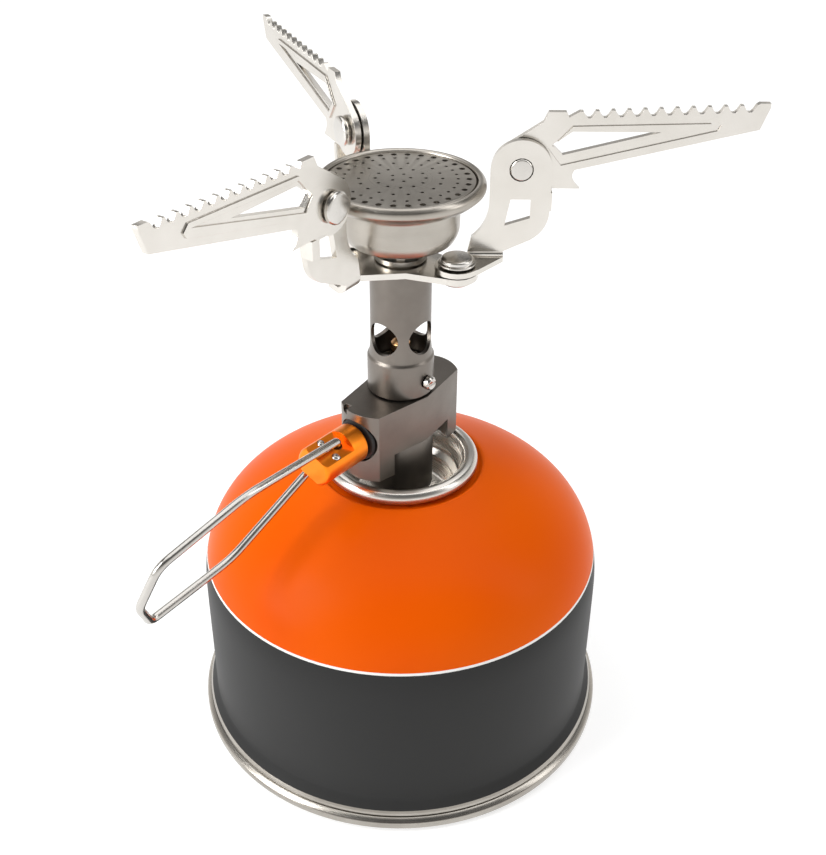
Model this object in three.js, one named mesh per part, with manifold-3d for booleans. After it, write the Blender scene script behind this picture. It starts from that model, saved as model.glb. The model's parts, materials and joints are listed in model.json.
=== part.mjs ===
// Canister camping stove on a screw-on gas cartridge. Millimetres, +Z up.
// Everything is laid out round the cartridge's axis, and the finished group is then moved so that
// its origin is on the surface it stands on, under the middle of its extent.
import * as THREE from 'three';
import { mergeVertices } from 'three/addons/utils/BufferGeometryUtils.js';
import Module from 'manifold-3d';

const wasm = await Module();
wasm.setup();

const DEG = Math.PI / 180;
const GAP = 0.3;              // clearance kept between touching pieces

// ---------------------------------------------------------------- driving dimensions
// Cartridge
const SEAM_R = 45;            // outside of the bottom seam
const BODY_R = 42.4;          // drawn wall
const SEAM_TOP = 3.4;
const SHOULDER_Z = 34.5;      // where the straight wall ends
const DOME_EDGE_R = 17.2;     // where the dome meets the groove round the valve cup
const DOME_EDGE_Z = 62.2;
const SHEET = 0.8;            // sheet thickness of the cartridge
const BEAD_R = 14.5;          // curled bead of the valve cup
const BEAD_Z = 63;
const BEAD_SECTION_R = 1.6;
const CUP_FLOOR = 54;
const POST_R = 5.45;          // 7/16 inch threaded post
const POST_TOP = 63;
const STEM_DROP = 1.2;        // how far the screwed-on stove holds the stem down

// Valve block, in its own frame: x along the block, knob at the -x end
const KNOB_AZIMUTH = 230;
const BLOCK_BOTTOM = 65.4;
const BLOCK_TOP = 80.3;
const BLOCK_RELIEF_TOP = 70.2;
const BLOCK_RELIEF_R = 10.2;
const VALVE_Z = 74;           // height of the needle's axis
const COLLAR_R = 6.6;         // threaded inlet collar
const COLLAR_BOTTOM = 57;
const KNOB_R = 4;
const KNOB_INNER = 14.3;      // knob's inner end, from the stove's axis
const KNOB_OUTER = 26;
const FLAT_START = 18.2;
const FLAT_HALF = 2.7;        // half the thickness between the knob's flats
const FLAT_TILT = 70;         // the flats' normal, up from the horizontal
const DETENT_X = 22.3;
const DETENT_Y = 2;
const WIRE_R = 0.85;
const WIRE_PIVOT = 20.2;
const WIRE_HEIGHT = 4;        // leg centre above the knob's middle

// Mixing tube
const TUBE_R = 5.95;
const TUBE_BORE_R = 5.2;
const FOOT_R = 6.6;
const FOOT_TOP = 88.2;
const TAPER_TOP = 91.2;
const AIR_HOLE_Z = 93.1;
const AIR_HOLE_R = 3.4;
const SCREW_Z = 83.6;

// Support plate, brackets and arms
const PLATE_BOTTOM = 107;
const PLATE_TOP = 108.2;
const PLATE_T = PLATE_TOP - PLATE_BOTTOM;
const EAR_T = 1;
const EAR_TOP = PLATE_TOP + GAP + EAR_T;
const SWING = [10.4, -5.6];   // swing rivet in an arm's own frame
const ARM_T = 1.2;
const ARM_SIDE = 0.15;        // half the gap between arm and upright
const PIVOT = [21.6, 126.1];  // arm pivot, x and z in an arm's own frame
const PIVOT_SHANK_R = 1.9;
const ARM_LENGTH = 64.5;      // from the stove's axis to the tip
const ARM_AZIMUTH = { right: -1, rear: 116, left: -125 };

// Burner
const BOWL_BOTTOM = 111.3;
const BOWL_R = 10.9;
const RIM_R = 15.6;
const DISC_R = 13.7;
const DISC_TOP = 124;
const DISC_T = 0.8;

// ---------------------------------------------------------------- materials
function material(color, roughness, metalness) {
  return new THREE.MeshStandardMaterial({ color, roughness, metalness });
}

const STEEL = () => material(0xc9c7c2, 0.32, 1);
const SATIN_STEEL = () => material(0xa9a6a0, 0.42, 1);
const TITANIUM = () => material(0x6f6862, 0.45, 1);
const BRASS = () => material(0xb9823f, 0.35, 1);
const ORANGE_PAINT = () => material(0xf25c05, 0.3, 0);
const ORANGE_ANODISED = () => material(0xf57a0c, 0.3, 0.6);
const BLACK_RUBBER = () => material(0x111111, 0.7, 0);
const WHITE_PLASTIC = () => material(0xe6e4de, 0.5, 0);

// ---------------------------------------------------------------- solids
function toManifold(geometry) {
  const bare = new THREE.BufferGeometry();
  bare.setAttribute('position', geometry.getAttribute('position'));
  bare.setIndex(geometry.getIndex());
  const merged = mergeVertices(bare, 1e-4);
  const index = merged.getIndex().array;
  const kept = [];
  for (let i = 0; i < index.length; i += 3) {
    const [a, b, c] = [index[i], index[i + 1], index[i + 2]];
    if (a !== b && b !== c && c !== a) kept.push(a, b, c);
  }
  const triangles = new Uint32Array(kept);
  const points = new Float32Array(merged.getAttribute('position').array);
  let volume = 0;
  const corner = (k) => new THREE.Vector3().fromArray(points, 3 * k);
  for (let i = 0; i < kept.length; i += 3) {
    volume += corner(kept[i]).dot(corner(kept[i + 1]).cross(corner(kept[i + 2])));
  }
  if (volume < 0) {
    for (let i = 0; i < triangles.length; i += 3) {
      [triangles[i], triangles[i + 1]] = [triangles[i + 1], triangles[i]];
    }
  }
  return new wasm.Manifold(
    new wasm.Mesh({ numProp: 3, vertProperties: points, triVerts: triangles }));
}

function toGeometry(solid) {
  const mesh = solid.getMesh();
  const geometry = new THREE.BufferGeometry();
  geometry.setAttribute('position', new THREE.BufferAttribute(mesh.vertProperties, 3));
  geometry.setIndex(new THREE.BufferAttribute(mesh.triVerts, 1));
  geometry.computeVertexNormals();
  return geometry;
}

function join(...solids) {
  return solids.reduce((whole, solid) => whole.add(solid));
}

function cut(body, ...tools) {
  return tools.reduce((whole, tool) => whole.subtract(tool), body);
}

// A solid turned about Z from a profile of [radius, z] points.
function turned(profile, segments = 48) {
  const points = profile.map(([r, z]) => new THREE.Vector2(r, z));
  const geometry = new THREE.LatheGeometry(points, segments);
  return toManifold(geometry.rotateX(Math.PI / 2));
}

// A ring profile closes on itself; a solid one starts and ends on the axis.
function ring(inner, outer, bottom, top, segments = 48) {
  return turned(
    [[outer, bottom], [outer, top], [inner, top], [inner, bottom], [outer, bottom]], segments);
}

function disc(radius, bottom, top, segments = 48) {
  return turned([[0, bottom], [radius, bottom], [radius, top], [0, top]], segments);
}

function torus(radius, section, z, segments = 36) {
  const geometry = new THREE.TorusGeometry(radius, section, 6, segments);
  return toManifold(geometry.translate(0, 0, z));
}

// A rod along +X from x0 to x1.
function rodX(radius, x0, x1, segments = 32) {
  const geometry = new THREE.CylinderGeometry(radius, radius, x1 - x0, segments);
  return toManifold(geometry.rotateZ(-Math.PI / 2).translate((x0 + x1) / 2, 0, 0));
}

function box([x0, x1], [y0, y1], [z0, z1]) {
  const geometry = new THREE.BoxGeometry(x1 - x0, y1 - y0, z1 - z0);
  return toManifold(geometry.translate((x0 + x1) / 2, (y0 + y1) / 2, (z0 + z1) / 2));
}

// A flat outline in the XY plane, raised from z0 to z1.
function slabZ(shape, z0, z1, curveSegments = 10) {
  const options = { depth: z1 - z0, bevelEnabled: false, curveSegments };
  return toManifold(new THREE.ExtrudeGeometry(shape, options).translate(0, 0, z0));
}

// An outline of [x, z] points standing in the XZ plane, from y0 to y1.
function slabY(shape, y0, y1, curveSegments = 10) {
  const options = { depth: y1 - y0, bevelEnabled: false, curveSegments };
  const geometry = new THREE.ExtrudeGeometry(shape, options).rotateX(Math.PI / 2);
  return toManifold(geometry.translate(0, y1, 0));
}

function polygon(points) {
  return new THREE.Shape(points.map(([x, y]) => new THREE.Vector2(x, y)));
}

function circle(radius, [x, y]) {
  const shape = new THREE.Shape();
  shape.absarc(x, y, radius, 0, 2 * Math.PI, false);
  return shape;
}

function tube(curve, radius, steps, sides = 8) {
  const section = new THREE.Shape();
  for (let i = 0; i < sides; i += 1) {
    const angle = (2 * Math.PI * i) / sides;
    const [x, y] = [radius * Math.cos(angle), radius * Math.sin(angle)];
    if (i === 0) section.moveTo(x, y);
    else section.lineTo(x, y);
  }
  const options = { steps, bevelEnabled: false, extrudePath: curve };
  return toManifold(new THREE.ExtrudeGeometry(section, options));
}

function place(group, name, solid, finish) {
  const mesh = new THREE.Mesh(toGeometry(solid), finish());
  mesh.name = name;
  group.add(mesh);
  return mesh;
}

// ---------------------------------------------------------------- cartridge
function domeCurve(inset) {
  const curve = new THREE.CubicBezierCurve(
    new THREE.Vector2(BODY_R - inset, SHOULDER_Z),
    new THREE.Vector2(BODY_R - inset, 47.5 - inset * 0.6),
    new THREE.Vector2(37 - inset * 0.8, 55 - inset),
    new THREE.Vector2(DOME_EDGE_R, DOME_EDGE_Z - inset));
  return curve.getPoints(6).map((p) => [p.x, p.y]);
}

function cartridgeShell() {
  const bottom = SEAM_TOP + GAP;
  const lipTop = BEAD_Z - BEAD_SECTION_R - GAP;
  const lipInner = BEAD_R - 0.9;
  const outer = [
    [SEAM_R - 1, bottom], [SEAM_R - 1, bottom + 0.6], [BODY_R, bottom + 3.2],
    ...domeCurve(0), [DOME_EDGE_R - 0.8, lipTop], [lipInner, lipTop]];
  const inner = [
    [lipInner, lipTop - SHEET], [DOME_EDGE_R - 0.8, lipTop - SHEET],
    ...domeCurve(SHEET).reverse(), [BODY_R - SHEET, bottom + 3.2],
    [SEAM_R - 1 - SHEET * 1.3, bottom + 0.6], [SEAM_R - 1 - SHEET * 1.3, bottom],
    [SEAM_R - 1, bottom]];
  return turned([...outer, ...inner], 36);
}

function cartridgeBase() {
  return turned([
    [0, 9], [22, 7.8], [40.2, 1.4], [41.6, 0], [43.6, 0], [SEAM_R, 1.2], [SEAM_R, 2.6],
    [43.9, SEAM_TOP], [42.6, SEAM_TOP], [42.6, 2.4], [40.8, 2.4], [22.2, 8.8], [0, 9.9]], 36);
}

function valveCup() {
  const bead = [];
  for (let i = 0; i <= 6; i += 1) {
    const angle = (-60 + 40 * i) * DEG;
    bead.push([BEAD_R + BEAD_SECTION_R * Math.cos(angle), BEAD_Z + BEAD_SECTION_R * Math.sin(angle)]);
  }
  return turned([
    ...bead, [12.3, 61], [12.1, 58.6], [11, 57.4], [10.4, CUP_FLOOR + 0.9], [9.6, CUP_FLOOR],
    [POST_R + 0.6, CUP_FLOOR], [POST_R, CUP_FLOOR + 0.6], [POST_R, POST_TOP - 0.5],
    [POST_R - 0.5, POST_TOP], [1.8, POST_TOP], [1.8, POST_TOP - 1], [3.4, POST_TOP - 1],
    [3.4, CUP_FLOOR - SHEET], [9.9, CUP_FLOOR - SHEET], [11.1, CUP_FLOOR + 0.3],
    [12.8, 58.2], [13, 61], bead[0]], 28);
}

function valveHousing() {
  return turned([
    [0, 45], [5, 45], [5, 52.9], [3.1, 52.9], [3.1, 60.2], [2.3, 60.2], [2.3, 46.2], [0, 46.2]], 24);
}

function valveStem() {
  const top = 61.4;
  const flange = 60.2 - STEM_DROP;
  return turned([
    [0, flange - 1.6], [1, flange - 1.6], [1, flange - 0.8], [2, flange - 0.8], [2, flange],
    [1.2, flange], [1.2, top], [0, top]], 20);
}

function valveSpring() {
  const bottom = 46.9;
  const top = 57;
  const turns = 4.5;
  class Helix extends THREE.Curve {
    getPoint(t) {
      const angle = 2 * Math.PI * turns * t;
      return new THREE.Vector3(1.55 * Math.cos(angle), 1.55 * Math.sin(angle), bottom + (top - bottom) * t);
    }
  }
  return tube(new Helix(), 0.25, 36, 4);
}

const model = new THREE.Group();
const cartridge = new THREE.Group();
model.add(cartridge);
place(cartridge, 'cartridge_shell', cartridgeShell(), ORANGE_PAINT);
place(cartridge, 'cartridge_base', cartridgeBase(), STEEL);
place(cartridge, 'valve_cup', valveCup(), STEEL);
place(cartridge, 'valve_housing', valveHousing(), WHITE_PLASTIC);
place(cartridge, 'stem_gasket', ring(1.5, 3.1, 60.5, 61.7, 24), BLACK_RUBBER);
place(cartridge, 'valve_stem', valveStem(), WHITE_PLASTIC);
place(cartridge, 'valve_spring', valveSpring(), STEEL);

// ---------------------------------------------------------------- valve block and inlet
const stove = new THREE.Group();
model.add(stove);

// The block's frame: +x points away from the knob.
const blockFrame = new THREE.Group();
blockFrame.rotation.z = (KNOB_AZIMUTH - 180) * DEG;
stove.add(blockFrame);

// Pieces on the needle's axis lie along the block frame's x at VALVE_Z.
function onValveAxis(solid) {
  return solid.translate([0, 0, VALVE_Z]);
}

function blockOutline() {
  const shape = new THREE.Shape();
  const end = 12.3;
  const nose = 14.1;
  shape.moveTo(0, -7);
  shape.lineTo(end, -4.9);
  shape.quadraticCurveTo(2 * nose - end, 0, end, 4.9);
  shape.lineTo(0, 7);
  shape.lineTo(-end, 4.9);
  shape.quadraticCurveTo(-(2 * nose - end), 0, -end, -4.9);
  shape.closePath();
  return shape;
}

const SPOT_FACE = 12.3;
const GLAND_OUTER = 13.5;

function valveBlock() {
  const block = join(
    slabZ(blockOutline(), BLOCK_BOTTOM, BLOCK_TOP, 8),
    disc(TUBE_BORE_R - GAP, BLOCK_TOP - 1, BLOCK_TOP + 5.5, 24));
  const screwHole = rodX(1.25, 3, 6, 12).rotate([0, 0, -90]).translate([0, 0, SCREW_Z]);
  return cut(
    block,
    disc(BLOCK_RELIEF_R, BLOCK_BOTTOM - 1, BLOCK_RELIEF_TOP, 28),
    onValveAxis(rodX(4.6, -20, -SPOT_FACE, 24)),
    onValveAxis(rodX(2.6, -16, -2, 20)),
    onValveAxis(rodX(1.2, -3, 2.4, 12)),
    disc(1.6, BLOCK_RELIEF_TOP - 1, VALVE_Z, 16).translate([-4, 0, 0]),
    disc(1.2, VALVE_Z, BLOCK_TOP, 16),
    disc(2.7, BLOCK_TOP - 3, BLOCK_TOP + 6, 20),
    box([-14, -12.2], [2.2, 3.6], [BLOCK_TOP - 1.2, BLOCK_TOP + 1]),
    screwHole);
}

function inletCollar() {
  const top = BLOCK_RELIEF_TOP - GAP;
  const bore = POST_R + GAP;
  return turned([
    [COLLAR_R - 0.4, COLLAR_BOTTOM], [COLLAR_R, COLLAR_BOTTOM + 0.4], [COLLAR_R, top],
    [1.9, top], [1.9, 65.8], [bore, 65.8], [bore, COLLAR_BOTTOM + 0.5],
    [bore + 0.3, COLLAR_BOTTOM], [COLLAR_R - 0.4, COLLAR_BOTTOM]], 28);
}

place(stove, 'inlet_o_ring', torus(3.9, 0.9, 64.3, 16), BLACK_RUBBER);
place(blockFrame, 'valve_block', valveBlock(), TITANIUM);
place(stove, 'inlet_collar', inletCollar(), TITANIUM);
place(stove, 'depressor_pin', turned([
  [0, 61.7], [0.9, 61.7], [1, 62], [1, 65.2], [1.5, 65.2], [1.5, 66.4], [0, 66.4]], 16), BRASS);
place(stove, 'inlet_filter', disc(1.5, 67.2, 69, 16), BRASS);

// ---------------------------------------------------------------- needle and knob
function needleSpindle() {
  const outerEnd = -18;
  return onValveAxis(turned([
    [0, outerEnd], [1.7, outerEnd], [1.7, -KNOB_INNER], [2.3, -KNOB_INNER], [2.3, -9.6],
    [1.3, -9.6], [1.3, -8.2], [2.3, -8.2], [2.3, -3.4], [0.8, -2.4], [0.3, -0.6], [0, -0.6],
  ], 20).rotate([0, 90, 0]));
}

// Knob pieces are made with their flats facing Z, then tilted about the needle's axis.
const knobFrame = new THREE.Group();
knobFrame.position.set(0, 0, VALVE_Z);
knobFrame.rotation.x = -(FLAT_TILT - 90) * DEG;
blockFrame.add(knobFrame);

function controlKnob() {
  const profile = [
    [0, -KNOB_OUTER], [KNOB_R - 0.5, -KNOB_OUTER], [KNOB_R, -KNOB_OUTER + 0.5],
    [KNOB_R, -KNOB_INNER - 0.3], [KNOB_R - 0.3, -KNOB_INNER], [2, -KNOB_INNER],
    [2, -18.4], [0, -18.4]];
  const body = turned(profile, 28).rotate([0, 90, 0]);
  const flats = [1, -1].map((side) => box(
    [-KNOB_OUTER - 1, -FLAT_START], [-5, 5],
    side > 0 ? [FLAT_HALF, 6] : [-6, -FLAT_HALF]));
  const pinHole = disc(WIRE_R + GAP, -6, 6, 12).translate([-WIRE_PIVOT, 0, 0]);
  const detents = [1, -1].map((side) => disc(0.9, 1, 6, 12)
    .translate([-DETENT_X, side * DETENT_Y, 0]));
  return cut(body, ...flats, pinHole, ...detents);
}

function detentPin(side) {
  const foot = 1.3;
  const pin = turned([
    [0, foot], [0.6, foot], [0.6, 2.6], [0.55, 2.9], [0.3, 3.1], [0, 3.15]], 12);
  return pin.translate([-DETENT_X, side * DETENT_Y, 0]);
}

// The handle's legs leave the knob's two flats and meet in a blunt end. Each corner is [distance from
// the stove's axis, sideways, height above the knob's middle], and its bend's length on each side.
function wireHandle() {
  const legEnd = 1.1;
  const corners = [
    [WIRE_PIVOT, 0, legEnd, 0], [WIRE_PIVOT, 0, WIRE_HEIGHT, 0.9], [44.2, 0, 5, 3],
    [63.6, 0, -0.4, 2.5], [66.4, 0, -10.2, 1.8], [62.8, 0, -17.6, 1.6], [43.5, 0, -14.5, 3],
    [23.8, 1.8, -3.9, 1.2], [WIRE_PIVOT, 0, -WIRE_HEIGHT, 0.9], [WIRE_PIVOT, 0, -legEnd, 0]];
  const points = corners.map(([x, y, z]) => new THREE.Vector3(-x, y, z));
  const path = new THREE.CurvePath();
  let from = points[0];
  for (let i = 1; i < points.length - 1; i += 1) {
    const bend = corners[i][3];
    const before = points[i].clone().sub(points[i - 1]).setLength(bend);
    const after = points[i + 1].clone().sub(points[i]).setLength(bend);
    const start = points[i].clone().sub(before);
    const end = points[i].clone().add(after);
    path.add(new THREE.LineCurve3(from, start));
    path.add(new THREE.QuadraticBezierCurve3(start, points[i].clone(), end));
    from = end;
  }
  path.add(new THREE.LineCurve3(from, points.at(-1)));
  return wireAlong(path);
}

// Few rings on the straights and more in the bends, so the corners stay round.
function wireAlong(path) {
  class Route extends THREE.Curve {
    getPoint(t) {
      const along = t * path.curves.length;
      const k = Math.min(Math.floor(along), path.curves.length - 1);
      return path.curves[k].getPoint(along - k);
    }

    getPointAt(t) {
      return this.getPoint(t);
    }

    getTangentAt(t) {
      return this.getTangent(t);
    }
  }
  return tube(new Route(), WIRE_R, path.curves.length * 3, 6);
}

place(blockFrame, 'needle_spindle', needleSpindle(), BRASS);
place(blockFrame, 'spindle_o_ring', onValveAxis(
  torus(1.95, 0.4, -8.9, 14).rotate([0, 90, 0])), BLACK_RUBBER);
place(blockFrame, 'gland_ring', onValveAxis(
  ring(2.6, 4.3, -GLAND_OUTER, -SPOT_FACE - GAP, 32).rotate([0, 90, 0])), BLACK_RUBBER);
place(knobFrame, 'control_knob', controlKnob(), ORANGE_ANODISED);
place(knobFrame, 'detent_pin_a', detentPin(1), STEEL);
place(knobFrame, 'detent_pin_b', detentPin(-1), STEEL);
place(knobFrame, 'wire_handle', wireHandle(), STEEL);

// ---------------------------------------------------------------- jet and mixing tube
const jetFoot = BLOCK_TOP - 2.7;
place(stove, 'jet', turned([
  [2.4, jetFoot], [2.4, 87], [1.9, 87.6], [1.9, 90.2], [1.1, 90.9], [0.4, 90.9], [0.4, 90],
  [0.9, 89], [0.9, jetFoot], [2.4, jetFoot]], 20), BRASS);

function mixingTube() {
  const bottom = BLOCK_TOP + GAP;
  const top = PLATE_BOTTOM - GAP;
  const body = turned([
    [FOOT_R, bottom], [FOOT_R, FOOT_TOP - 0.4], [TUBE_R + 0.25, FOOT_TOP + 0.1], [TUBE_R, TAPER_TOP],
    [TUBE_R, top], [TUBE_BORE_R, top], [TUBE_BORE_R, bottom], [FOOT_R, bottom]], 28);
  const holes = [0, 90].map((angle) => rodX(AIR_HOLE_R, -9, 9, 14)
    .rotate([0, 0, angle]).translate([0, 0, AIR_HOLE_Z]));
  const screwHole = rodX(1.25, 4, 9, 12).rotate([0, 0, -90]).translate([0, 0, SCREW_Z]);
  return cut(body, ...holes, screwHole);
}

function tubeScrew() {
  const screw = turned([
    [0, 3.6], [0.9, 3.6], [0.9, 6.9], [1.4, 6.9], [1.4, 7.7], [1.1, 8.1], [0, 8.1]], 16);
  const slot = box([-2, 2], [-0.25, 0.25], [7.7, 9]);
  return cut(screw, slot).rotate([90, 0, 0]).translate([0, 0, SCREW_Z]);
}

place(blockFrame, 'mixing_tube', mixingTube(), TITANIUM);
place(blockFrame, 'tube_screw', tubeScrew(), STEEL);

// ---------------------------------------------------------------- support plate and brackets
const UPRIGHT = [-ARM_SIDE - ARM_T, -ARM_SIDE];   // y range of an upright in its arm's frame
const BEND_R = 0.8;
const FOOT_X = [12.4, 19];                         // where the bend runs
const LEFT_FOOT_END = 16.6;

function uprightOutline(bottom, footEnd) {
  const [px, pz] = PIVOT;
  const radius = 5.5;
  const shape = new THREE.Shape();
  shape.moveTo(footEnd, bottom);
  shape.lineTo(23.9, 112.6);
  shape.quadraticCurveTo(27.1, 114.6, px + radius, 118.3);
  shape.lineTo(px + radius, pz);
  shape.absarc(px, pz, radius, 0, Math.PI, false);
  shape.lineTo(px - radius, 119);
  shape.quadraticCurveTo(15.6, 115, 13, 113);
  shape.lineTo(FOOT_X[0], bottom);
  shape.closePath();
  const window_ = new THREE.Path();
  window_.moveTo(19.9, 120.5);
  window_.lineTo(23.6, 120.5);
  window_.lineTo(23.6, 116.9);
  window_.lineTo(19, 115.4);
  window_.closePath();
  shape.holes.push(window_);
  const hole = new THREE.Path();
  hole.absarc(px, pz, PIVOT_SHANK_R + GAP, 0, 2 * Math.PI, true);
  shape.holes.push(hole);
  return shape;
}

// The upright, its stop tab and the bend down to a flat foot whose top is at footTop.
function upright(side, footTop, thickness, footEnd) {
  const bendBottom = footTop + BEND_R;
  const [back, front] = UPRIGHT;
  const plate = slabY(uprightOutline(bendBottom, footEnd), back, front, 9);
  const tab = box([PIVOT[0] + 4.6, PIVOT[0] + 5.8], [back, ARM_SIDE + ARM_T], [118.3, 121.8]);
  const centreY = side < 0 ? back - BEND_R : front + BEND_R;
  const profile = new THREE.Shape();
  const start = side < 0 ? -Math.PI / 2 : Math.PI;
  const end = start + Math.PI / 2;
  profile.absarc(centreY, bendBottom, BEND_R + thickness, start, end, false);
  profile.absarc(centreY, bendBottom, BEND_R, end, start, true);
  profile.closePath();
  const options = { depth: footEnd - FOOT_X[0], bevelEnabled: false, curveSegments: 4 };
  const bend = toManifold(new THREE.ExtrudeGeometry(profile, options)
    .rotateX(Math.PI / 2).rotateZ(Math.PI / 2).translate(FOOT_X[0], 0, 0));
  return join(plate, tab, bend);
}

// Reflects a y of the right bracket for a bracket whose foot lies on the other side.
function footY(y, side) {
  return side < 0 ? y : -y - 2 * ARM_SIDE - ARM_T;
}

function swingCentre(side) {
  return [SWING[0], footY(SWING[1], side)];
}

function earOutline(side, radius) {
  const bendEdge = footY(UPRIGHT[0] - BEND_R, side);
  const [cx, cy] = swingCentre(side);
  const out = side < 0 ? -1 : 1;
  return [
    circle(radius, [cx, cy]),
    polygon([
      [FOOT_X[0], bendEdge], [FOOT_X[1], bendEdge], [14.2, cy + out * 2.1], [cx, cy + out * radius],
      [cx - 3.1, cy - out * 2.8], [cx - 0.6, cy - out * radius]])];
}

function swingBracket(side) {
  const bottom = EAR_TOP - EAR_T;
  const [disc_, web] = earOutline(side, 4.1);
  const [cx, cy] = swingCentre(side);
  const body = join(
    upright(side, EAR_TOP, EAR_T, FOOT_X[1]), slabZ(disc_, bottom, EAR_TOP, 10), slabZ(web, bottom, EAR_TOP));
  return cut(body, disc(2, bottom - 1, EAR_TOP + 1, 24).translate([cx, cy, 0]));
}

function swingRivet(side) {
  const [cx, cy] = swingCentre(side);
  const foot = PLATE_BOTTOM - GAP;
  const head = EAR_TOP + GAP;
  return turned([
    [0, foot - 0.7], [2.5, foot - 0.7], [2.9, foot - 0.4], [2.9, foot], [1.7, foot], [1.7, head],
    [3.5, head], [3.5, head + 0.45], [3, head + 0.45], [3, head + 1.1], [2.6, head + 1.4],
    [0, head + 1.5]], 16).translate([cx, cy, 0]);
}

// Turns a solid from an arm's own frame to the stove's frame.
function turnedTo(arm, solid) {
  return solid.rotate([0, 0, ARM_AZIMUTH[arm]]);
}

const EAR_SIDE = { right: -1, rear: 1, left: -1 };

function supportPlate() {
  const lugs = ['right', 'rear'].map((arm) => {
    const [cx, cy] = swingCentre(EAR_SIDE[arm]);
    const reach = Math.hypot(cx, cy);
    const angle = Math.atan2(cy, cx) / DEG;
    const web = polygon([[0, -6.2], [reach, -3.9], [reach, 3.9], [0, 6.2]]);
    return turnedTo(arm, join(
      slabZ(web, PLATE_BOTTOM, PLATE_TOP),
      slabZ(circle(3.9, [reach, 0]), PLATE_BOTTOM, PLATE_TOP, 9)).rotate([0, 0, angle]));
  });
  const edge = UPRIGHT[0] - BEND_R;
  const leftWeb = slabZ(polygon([
    [2.1, 7.9], [10.4, -1.6], [FOOT_X[0], edge], [LEFT_FOOT_END, edge], [15.4, -5.2], [9, -8.4],
    [0, -7]]), PLATE_BOTTOM, PLATE_TOP);
  const left = turnedTo('left', join(leftWeb, upright(EAR_SIDE.left, PLATE_TOP, PLATE_T, LEFT_FOOT_END)));
  const body = join(disc(6.4, PLATE_BOTTOM, PLATE_TOP, 40), ...lugs, left);
  const holes = ['right', 'rear'].map((arm) => {
    const [cx, cy] = swingCentre(EAR_SIDE[arm]);
    return turnedTo(arm, disc(2, PLATE_BOTTOM - 1, PLATE_TOP + 1, 24).translate([cx, cy, 0]));
  });
  return cut(body, disc(4.4, PLATE_BOTTOM - 1, PLATE_TOP + 1, 32), ...holes);
}

// ---------------------------------------------------------------- arms
function armOutline() {
  const [px, pz] = PIVOT;
  const landX = 26;
  const landZ = 136.2;
  const rise = Math.tan(2.6 * DEG);
  const pitch = 2.79;
  const depth = 1.25;
  const shape = new THREE.Shape();
  shape.moveTo(landX, landZ);
  shape.lineTo(29.1, landZ);
  const first = 30.3;
  const scallops = 12;
  const edge = (x) => landZ + (x - 29.1) * rise;
  shape.lineTo(first - 0.7, edge(first) - depth * 0.8);
  for (let i = 0; i < scallops - 1; i += 1) {
    const peak = first + pitch * (i + 0.5);
    const next = peak + pitch;
    shape.lineTo(peak - 0.3, edge(peak));
    shape.lineTo(peak + 0.3, edge(peak));
    shape.quadraticCurveTo(peak + pitch / 2, edge(peak) - 2 * depth, next - 0.3, edge(next) - 0.1);
  }
  shape.lineTo(62.6, 138);
  shape.lineTo(ARM_LENGTH, 138);
  shape.lineTo(ARM_LENGTH, 137.2);
  shape.lineTo(63.2, 133.3);
  shape.lineTo(31.2, 125.6);
  shape.quadraticCurveTo(30.2, 124, 32.4, 122.1);
  shape.absarc(px, pz, 5, -53 * DEG, 112 * DEG, true);
  shape.lineTo(25.2, 134.4);
  shape.closePath();
  const slot = new THREE.Path();
  slot.moveTo(27, 130.2);
  slot.lineTo(28.9, 128.4);
  slot.lineTo(45.9, 132.7);
  slot.lineTo(30.4, 132.7);
  slot.closePath();
  shape.holes.push(slot);
  const hole = new THREE.Path();
  hole.absarc(px, pz, PIVOT_SHANK_R + GAP, 0, 2 * Math.PI, false);
  shape.holes.push(hole);
  return shape;
}

// The pressed channel runs round the triangular opening: raised on one face, sunk in the other.
function armRib() {
  const outer = polygon([
    [30.2, 134.3], [55.2, 135.2], [56.4, 134], [55.8, 133], [28.7, 126.4], [26.2, 129.6]]);
  const inner = new THREE.Path();
  inner.moveTo(27, 129.9);
  inner.lineTo(28.9, 127.6);
  inner.lineTo(54.6, 134.3);
  inner.lineTo(30.4, 133.6);
  inner.closePath();
  outer.holes.push(inner);
  return outer;
}

function potArm() {
  const front = ARM_SIDE;
  const back = ARM_SIDE + ARM_T;
  const depth = 0.3;
  const blank = join(slabY(armOutline(), front, back, 5), slabY(armRib(), back - 0.2, back + depth));
  return cut(blank, slabY(armRib(), front - 1, front + depth));
}

function pivotRivet() {
  const back = ARM_SIDE + ARM_T + GAP;
  const geometry = new THREE.LatheGeometry([
    [0, UPRIGHT[0] - 0.25], [PIVOT_SHANK_R - 0.2, UPRIGHT[0] - 0.25], [PIVOT_SHANK_R, UPRIGHT[0]],
    [PIVOT_SHANK_R, back], [2.9, back], [2.9, back + 0.8], [2.5, back + 1.1], [0, back + 1.2],
  ].map(([r, y]) => new THREE.Vector2(r, y)), 16);
  return toManifold(geometry.translate(PIVOT[0], 0, PIVOT[1]));
}

place(stove, 'support_plate', supportPlate(), STEEL);
for (const arm of ['right', 'rear']) {
  place(stove, `${arm}_bracket`, turnedTo(arm, swingBracket(EAR_SIDE[arm])), STEEL);
  place(stove, `${arm}_swing_rivet`, turnedTo(arm, swingRivet(EAR_SIDE[arm])), SATIN_STEEL);
}
for (const arm of ['right', 'rear', 'left']) {
  place(stove, `${arm}_arm`, turnedTo(arm, potArm()), STEEL);
  place(stove, `${arm}_pivot_rivet`, turnedTo(arm, pivotRivet()), SATIN_STEEL);
}

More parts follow.
